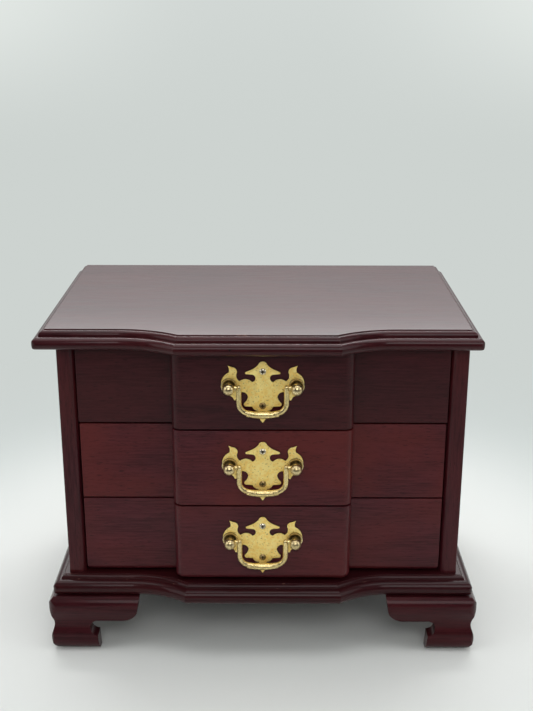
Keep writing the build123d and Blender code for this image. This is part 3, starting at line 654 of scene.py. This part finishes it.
node_finish = {
    "lid_board": lid_wood, "base_board": base_wood, "back_panel": back_wood,
    "side_panel_left": side_wood, "side_panel_right": side_wood,
    "well_front_board": inner_wood, "mirror_frame": frame_wood,
    "well_floor": box_wood_across, "drawer_shelf": box_wood_across,
    "foot_glue_blocks": box_wood_across,
    "false_front_panel": top_front_wood, "false_front_block": top_front_wood,
    "middle_drawer_front_panel": middle_front_wood,
    "middle_drawer_front_block": middle_front_wood,
    "bottom_drawer_front_panel": bottom_front_wood,
    "bottom_drawer_front_block": bottom_front_wood,
    "hinge_case_leaves": hinge_brass, "hinge_lid_leaves": hinge_brass, "hinge_pins": hinge_brass,
    "hinge_case_screws": bright_screw, "hinge_lid_screws": bright_screw,
}
for side in ("left", "right"):
    node_finish["front_" + side + "_foot_face"] = foot_face_wood
    node_finish["front_" + side + "_foot_return"] = foot_side_wood
    node_finish["rear_" + side + "_foot_side"] = foot_side_wood
    node_finish["rear_" + side + "_foot_back"] = foot_face_wood
for drawer in ("middle", "bottom"):
    node_finish[drawer + "_drawer_side_left"] = box_wood_along
    node_finish[drawer + "_drawer_side_right"] = box_wood_along
    node_finish[drawer + "_drawer_back"] = box_wood_across
    node_finish[drawer + "_drawer_bottom"] = box_wood_across
for row in ("top", "middle", "bottom"):
    node_finish[row + "_pull_posts"] = post_brass
    node_finish[row + "_pull_bail"] = cast_brass

for node, finish in node_finish.items():
    nodes[node].data.materials.clear()
    nodes[node].data.materials.append(finish)


# Pulls


def stamped_plate(row):
    """The plate with its face edges rounded by the stamping, and near-black sides, painted shade for the
    dark outline round it.
    """
    plate = merged_copy(row + "_pull_plate", row + "_plate_stamped")
    finish_with(
        plate, "BEVEL", width=plate_edge_round, segments=2, limit_method="ANGLE",
        angle_limit=math.radians(50), use_clamp_overlap=False)
    plate.data.materials.append(plate_brass)
    plate.data.materials.append(plate_side_painted_shade)
    for face in plate.data.polygons:
        # sideways faces get the near-black painted shade
        face.material_index = 1 if abs(face.normal.y) < 0.25 else 0
    smooth(plate, 40)
    stand_for(plate, row + "_pull_plate")


def plate_screws(row):
    """The bright upper screw and the lower one, darker as painted shade under the bail, with painted
    shade in their crosses.
    """
    screws = merged_copy(row + "_pull_screws", row + "_plate_screws")
    finish_with(
        screws, "BEVEL", width=screw_edge_round, segments=2, limit_method="ANGLE",
        angle_limit=math.radians(50), use_clamp_overlap=False)
    low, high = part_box(row + "_pull_screws")
    middle_z = (low.z + high.z) / 2
    plate_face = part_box(row + "_pull_plate")[0].y
    for finish in (bright_screw, lower_screw_painted_shade, recess_painted_shade):
        screws.data.materials.append(finish)
    for face in screws.data.polygons:
        upper = face.center.z > middle_z
        axis_z = high.z - screw_centre_inset if upper else low.z + screw_centre_inset
        near_axis = Vector((face.center.x, 0, face.center.z - axis_z)).length < cross_reach
        deep = face.center.y > plate_face - cross_depth
        sideways = abs(face.normal.y) < 0.3
        in_cross = near_axis and (deep or sideways)
        # crosses get painted shade, the lower screw its darker painted-shade finish
        face.material_index = 2 if in_cross else (0 if upper else 1)
    smooth(screws, 40)
    stand_for(screws, row + "_pull_screws")


for row in ("top", "middle", "bottom"):
    stamped_plate(row)
    plate_screws(row)


# Mirror


def bevelled_mirror():
    """Plate glass with a wide shallow bevel round its face, which looks down from the lid."""
    low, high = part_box("mirror_glass")
    glass = block("mirror_bevelled", low, high)
    select_in_edit_mode(glass, "faces", lambda mesh, face: face.normal.z < -0.9)
    bpy.ops.mesh.inset(thickness=glass_bevel_width, depth=0)
    bpy.ops.object.mode_set(mode="OBJECT")
    for corner in glass.data.vertices:
        to_side = min(corner.co.x - low.x, high.x - corner.co.x)
        to_end = min(corner.co.y - low.y, high.y - corner.co.y)
        if corner.co.z < low.z + mm and min(to_side, to_end) < mm:
            corner.co.z = low.z + glass_bevel_depth
    finish_with(
        glass, "BEVEL", width=glass_arris, segments=2, limit_method="ANGLE",
        angle_limit=math.radians(3))
    glass.data.materials.append(silver)
    smooth(glass, 3)
    stand_for(glass, "mirror_glass")


bevelled_mirror()


# Soft parts


def felt_tray(name, node):
    """Felt glued to a floor and four walls, rounded where it turns up."""
    low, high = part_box(node)
    tray = block(
        name,
        low + Vector((lining_side_gap, lining_side_gap, lining_under_gap)),
        high - Vector((lining_side_gap, lining_side_gap, lining_top_gap)))
    select_in_edit_mode(tray, "faces", lambda mesh, face: face.normal.z > 0.9)
    bpy.ops.mesh.delete(type="FACE")
    bpy.ops.object.mode_set(mode="OBJECT")
    rim = high.z - mm

    def below_rim(mesh, edge):
        return min(end.z for end in edge_ends(mesh, edge)) <= rim

    def along_rim(mesh, edge):
        return min(end.z for end in edge_ends(mesh, edge)) > rim - lining_top_gap

    select_in_edit_mode(tray, "edges", below_rim)
    bpy.ops.mesh.bevel(offset=lining_corner_round, segments=4, affect="EDGES")
    bpy.ops.mesh.select_all(action="SELECT")
    bpy.ops.mesh.subdivide(number_cuts=lining_cuts)
    bpy.ops.object.mode_set(mode="OBJECT")
    normals_outward(tray)
    middle = (low + high) / 2
    for point in tray.data.vertices:
        lift = lining_unevenness * (0.5 + 0.5 * noise.noise(point.co * lining_waves))
        inward = (Vector((middle.x, middle.y, point.co.z)) - point.co).normalized()
        on_floor = point.co.z < low.z + lining_corner_round
        point.co += (Vector((0, 0, 1)) if on_floor else inward) * lift
    finish_with(tray, "SOLIDIFY", thickness=lining_thickness, offset=-1, use_even_offset=True)
    select_in_edit_mode(tray, "edges", along_rim)
    bpy.ops.mesh.bevel(offset=lining_rim_round, segments=3, affect="EDGES")
    bpy.ops.object.mode_set(mode="OBJECT")
    tray.data.materials.append(lining_felt)
    smooth(tray, 50)
    stand_for(tray, node)


def velvet_board(name, outline):
    """One thin board in velvet, as large as its outline, soft at every edge."""
    corners = [corner.co for corner in outline.data.vertices]
    low = Vector([min(corner[axis] for corner in corners) for axis in range(3)])
    high = Vector([max(corner[axis] for corner in corners) for axis in range(3)])
    board = block(name, low + velvet_gap, high - velvet_gap)
    pick(board)
    bpy.ops.object.mode_set(mode="EDIT")
    bpy.ops.mesh.select_all(action="SELECT")
    bpy.ops.mesh.bevel(offset=velvet_edge_round, segments=4, affect="EDGES")
    bpy.ops.mesh.select_all(action="SELECT")
    bpy.ops.mesh.subdivide(number_cuts=velvet_cuts)
    bpy.ops.object.mode_set(mode="OBJECT")
    middle = (low + high) / 2
    across = 0 if high.x - low.x < high.y - low.y else 1
    for point in board.data.vertices:
        pull = velvet_unevenness * (0.5 + 0.5 * noise.noise(point.co * velvet_waves))
        point.co[across] -= math.copysign(pull, point.co[across] - middle[across])
    return board


def velvet_boards(name, node):
    """A board in velvet for each loose part of a CAD node."""
    pick(merged_copy(node, name + "_outline"))
    bpy.ops.mesh.separate(type="LOOSE")
    outlines = list(bpy.context.selected_objects)
    boards = [velvet_board(name, outline) for outline in outlines]
    for outline in outlines:
        bpy.data.objects.remove(outline)
    whole = joined(boards, name)
    whole.data.materials.append(roll_velvet)
    smooth(whole, 60)
    stand_for(whole, node)


def swell(piece, pressure, furthest):
    """Cloth blown up gently from inside; no point ends further from its start than furthest."""
    start = [point.co.copy() for point in piece.data.vertices]
    pick(piece)
    cloth = piece.modifiers.new("swell", "CLOTH")
    cloth.settings.use_pressure = True
    cloth.settings.uniform_pressure_force = pressure
    cloth.settings.effector_weights.gravity = 0
    cloth.settings.quality = 6
    for step in range(1, swell_frames + 1):
        scene.frame_set(step)
    bpy.ops.object.modifier_apply(modifier=cloth.name)
    scene.frame_set(1)
    for point, before in zip(piece.data.vertices, start):
        moved = point.co - before
        if moved.length > furthest:
            point.co = before + moved.normalized() * furthest


def ring_roll(number, near, far):
    """A bar between two corners, its upper long edges rounded into a half circle."""
    roll = block("roll_%d" % number, near, far)

    def upper_long_edge(mesh, edge):
        a, b = edge_ends(mesh, edge)
        return abs(a.x - b.x) > 50 * mm and min(a.z, b.z) > far.z - mm

    def end_face(mesh, face):
        return min(face.center.x - near.x, far.x - face.center.x) < 0.1 * mm

    select_in_edit_mode(roll, "edges", upper_long_edge)
    bpy.ops.mesh.bevel(offset=(far.y - near.y) * roll_round_share, segments=8, affect="EDGES")
    bpy.ops.object.mode_set(mode="OBJECT")
    select_in_edit_mode(roll, "faces", end_face)
    bpy.ops.mesh.bevel(offset=roll_end_round, segments=3, affect="EDGES")
    bpy.ops.object.mode_set(mode="OBJECT")
    return roll


def ring_rolls():
    """Round velvet rolls side by side, gathered at their ends, that hold rings between them."""
    low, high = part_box("ring_roll_pad")
    pitch = (high.y - low.y) / roll_count
    near_gap = Vector((roll_gap.x, roll_gap.y, roll_under_gap))
    rolls = []
    for n in range(roll_count):
        near = Vector((low.x, low.y + n * pitch, low.z)) + near_gap
        far = Vector((high.x, low.y + (n + 1) * pitch, high.z)) - roll_gap
        rolls.append(ring_roll(n + 1, near, far))
    pad = joined(rolls, "ring_rolls")
    finish_with(pad, "REMESH", mode="VOXEL", voxel_size=roll_voxel)
    swell(pad, roll_pressure, roll_swell)
    for point in pad.data.vertices:
        to_end = min(point.co.x - low.x, high.x - point.co.x)
        gathered = gather_height * math.exp(-to_end / gather_reach)
        folds = noise.noise(point.co * gather_waves)
        if point.co.z > low.z + mm:
            point.co.z += gathered * folds + roll_unevenness * noise.noise(point.co * roll_waves)
    finish_with(pad, "SUBSURF", levels=1, render_levels=1)
    for point in pad.data.vertices:
        point.co.z = min(max(point.co.z, low.z), high.z)
    pad.data.materials.append(roll_velvet)
    pick(pad)
    bpy.ops.object.shade_smooth()
    stand_for(pad, "ring_roll_pad")


def felt_dot(middle, radius, height):
    """A round of felt, fuller at the middle of its lower face and ragged at its rim."""
    deselect_all()
    bpy.ops.mesh.primitive_cylinder_add(
        vertices=40, radius=radius - bumper_side_gap, depth=height, location=middle)
    dot = bpy.context.active_object
    bpy.ops.object.transform_apply(location=True, rotation=True, scale=True)
    select_in_edit_mode(dot, "faces", lambda mesh, face: face.normal.z < -0.9)
    bpy.ops.mesh.inset(thickness=bumper_rim, depth=0)
    bpy.ops.mesh.inset(thickness=bumper_ring, depth=0)
    bpy.ops.object.mode_set(mode="OBJECT")
    for point in dot.data.vertices:
        out = (point.co - middle).xy.length
        lower = point.co.z < middle.z - height / 2 + 0.1 * mm
        if lower and out > radius - 2 * bumper_side_gap:
            point.co.z += bumper_dome
        point.co.xy += noise.noise_vector(point.co * bumper_waves).xy * bumper_raggedness
    return dot


def felt_bumpers():
    """Two felt dots under the lid's front corners."""
    low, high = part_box("lid_bumpers")
    radius = (high.y - low.y) / 2
    middle = (low + high) / 2
    dots = []
    for x in (low.x + radius, high.x - radius):
        dots.append(felt_dot(Vector((x, middle.y, middle.z)), radius, high.z - low.z))
    bumpers = joined(dots, "bumper_dots")
    bumpers.data.materials.append(bumper_felt)
    smooth(bumpers, 40)
    stand_for(bumpers, "lid_bumpers")


felt_tray("well_lining", "well_liner")
felt_tray("middle_drawer_lining", "middle_drawer_liner")
felt_tray("bottom_drawer_lining", "bottom_drawer_liner")
velvet_boards("long_divider_velvet", "well_divider_long")
velvet_boards("cross_dividers_velvet", "well_dividers_cross")
ring_rolls()
felt_bumpers()


# Studio


def backdrop_colour(tree, place, glossy):
    """Paler with height and at the upper corners, painted light on the wall; what gloss sees is dark in
    front.
    """
    spread = put(tree, "SeparateXYZ", {"Vector": place}).outputs
    risen = remap(tree, spread["Z"], 0.1, 1.6)
    # painted light: the wall grows paler upward and at its upper corners
    wall = mix_colours(tree, risen, pale_wall, bright_wall)
    aside = remap(tree, maths(tree, "ABSOLUTE", spread["X"]), 0.1, 0.9)
    corner = maths(tree, "MULTIPLY", aside, remap(tree, spread["Z"], 0.12, 0.5))
    wall = mix_colours(tree, corner, wall, corner_wall)
    higher = remap(tree, spread["Z"], 0.60, 0.95)
    behind = remap(tree, spread["Y"], -0.9, 0.5)
    room = mix_colours(tree, behind, dark_room, mix_colours(tree, higher, dim_room, lit_room))
    reflected = maths(tree, "MULTIPLY", glossy, remap(tree, spread["Z"], 0.0, 0.15))
    return mix_colours(tree, reflected, wall, room)


def studio_finish():
    """A pale sweep that catches the chest's shadow near it and is plain further out."""
    material = bpy.data.materials.new("studio_sweep")
    material.use_nodes = True
    tree = material.node_tree
    tree.nodes.clear()
    place = put(tree, "TexCoord").outputs["Object"]
    seen = put(tree, "LightPath").outputs
    glossy = seen["Is Glossy Ray"]
    shows = maths(tree, "MAXIMUM", seen["Is Camera Ray"], maths(
        tree, "MAXIMUM", glossy, seen["Is Transmission Ray"]))
    level = put(tree, "VectorMath", {0: place, 1: (1, 1, 0)}, operation="MULTIPLY").outputs[0]
    away = put(tree, "VectorMath", {0: level}, operation="LENGTH").outputs["Value"]
    # painted shade: the floor darkens further from the chest
    ground = mix_colours(tree, remap(tree, away, *floor_darkens), near_floor, far_floor)
    lit = put(tree, "BsdfDiffuse", {"Color": ground}).outputs[0]
    glow = put(tree, "Emission", {
        "Color": backdrop_colour(tree, place, glossy), "Strength": 1.0}).outputs[0]
    plain = maths(tree, "MULTIPLY", remap(tree, away, *shadows_end), shows)
    sweep = put(tree, "MixShader", {0: plain, 1: lit, 2: glow}).outputs[0]
    forward = put(tree, "SeparateXYZ", {"Vector": place}).outputs["Y"]
    past_table = maths(tree, "MULTIPLY", glossy, remap(tree, forward, *table_ends))
    dark = put(tree, "Emission", {"Color": dark_room, "Strength": 1.0}).outputs[0]
    sweep = put(tree, "MixShader", {0: past_table, 1: sweep, 2: dark}).outputs[0]
    tree.links.new(sweep, put(tree, "OutputMaterial").inputs[0])
    return material


def studio_sweep():
    """A round floor that curves up into a wall, spun about Z from one profile."""
    deselect_all()
    bpy.ops.mesh.primitive_plane_add(size=0.01, location=(0, 0, 0))
    sweep = bpy.context.active_object
    sweep.name = sweep.data.name = "studio_sweep"
    bpy.ops.object.mode_set(mode="EDIT")
    bpy.ops.mesh.select_mode(type="VERT")
    bpy.ops.mesh.select_all(action="SELECT")
    bpy.ops.mesh.merge(type="CENTER")
    bend = wall_radius - floor_radius
    steps = [Vector((floor_radius, 0, 0))]
    for n in range(1, bend_steps + 1):
        turn = math.radians(90 * n / bend_steps)
        steps.append(Vector((floor_radius + bend * math.sin(turn), 0, bend * (1 - math.cos(turn)))))
    steps.append(Vector((wall_radius, 0, wall_height)))
    here = Vector((0, 0, 0))
    for there in steps:
        bpy.ops.mesh.extrude_region_move(TRANSFORM_OT_translate={"value": there - here})
        here = there
    bpy.ops.mesh.select_all(action="SELECT")
    bpy.ops.mesh.spin(steps=round_steps, angle=2 * math.pi, center=(0, 0, 0), axis=(0, 0, 1))
    bpy.ops.mesh.select_all(action="SELECT")
    bpy.ops.mesh.remove_doubles(threshold=0.01 * mm)
    bpy.ops.mesh.normals_make_consistent(inside=True)
    bpy.ops.object.mode_set(mode="OBJECT")
    smooth(sweep, 40)
    sweep.data.materials.append(studio_finish())
    sweep.visible_shadow = False


def softbox(name, place, size, watts):
    light = bpy.data.lights.new(name, "AREA")
    light.shape = "RECTANGLE"
    light.size, light.size_y = size
    light.energy = watts
    lamp = bpy.data.objects.new(name, light)
    scene.collection.objects.link(lamp)
    lamp.location = place
    lamp.rotation_euler = (Vector(lamps_aim) - Vector(place)).to_track_quat("-Z", "Y").to_euler()
    lamp.visible_camera = False


def studio_light():
    for name, (place, size, watts) in softboxes.items():
        softbox(name, place, size, watts)
    world = bpy.data.worlds.new("studio_air")
    scene.world = world
    world.use_nodes = True
    tree = world.node_tree
    tree.nodes.clear()
    air = put(tree, "Background", {"Color": air_colour, "Strength": room_light}).outputs[0]
    tree.links.new(air, put(tree, "OutputWorld").inputs[0])


def camera():
    lens = bpy.data.cameras.new("photo_camera")
    lens.sensor_width = sensor_width
    lens.lens = sensor_width * focal_length_in_pixels / photo_height
    eye = bpy.data.objects.new("photo_camera", lens)
    scene.collection.objects.link(eye)
    eye.matrix_world = (
        Matrix.Translation(camera_place)
        @ Matrix.Rotation(camera_turns_left, 4, "Z")
        @ Matrix.Rotation(math.radians(90) - camera_looks_down, 4, "X")
        @ Matrix.Rotation(camera_tilts, 4, "Z"))
    scene.camera = eye


studio_sweep()
studio_light()
camera()
scene.view_settings.view_transform = "Standard"
deselect_all()
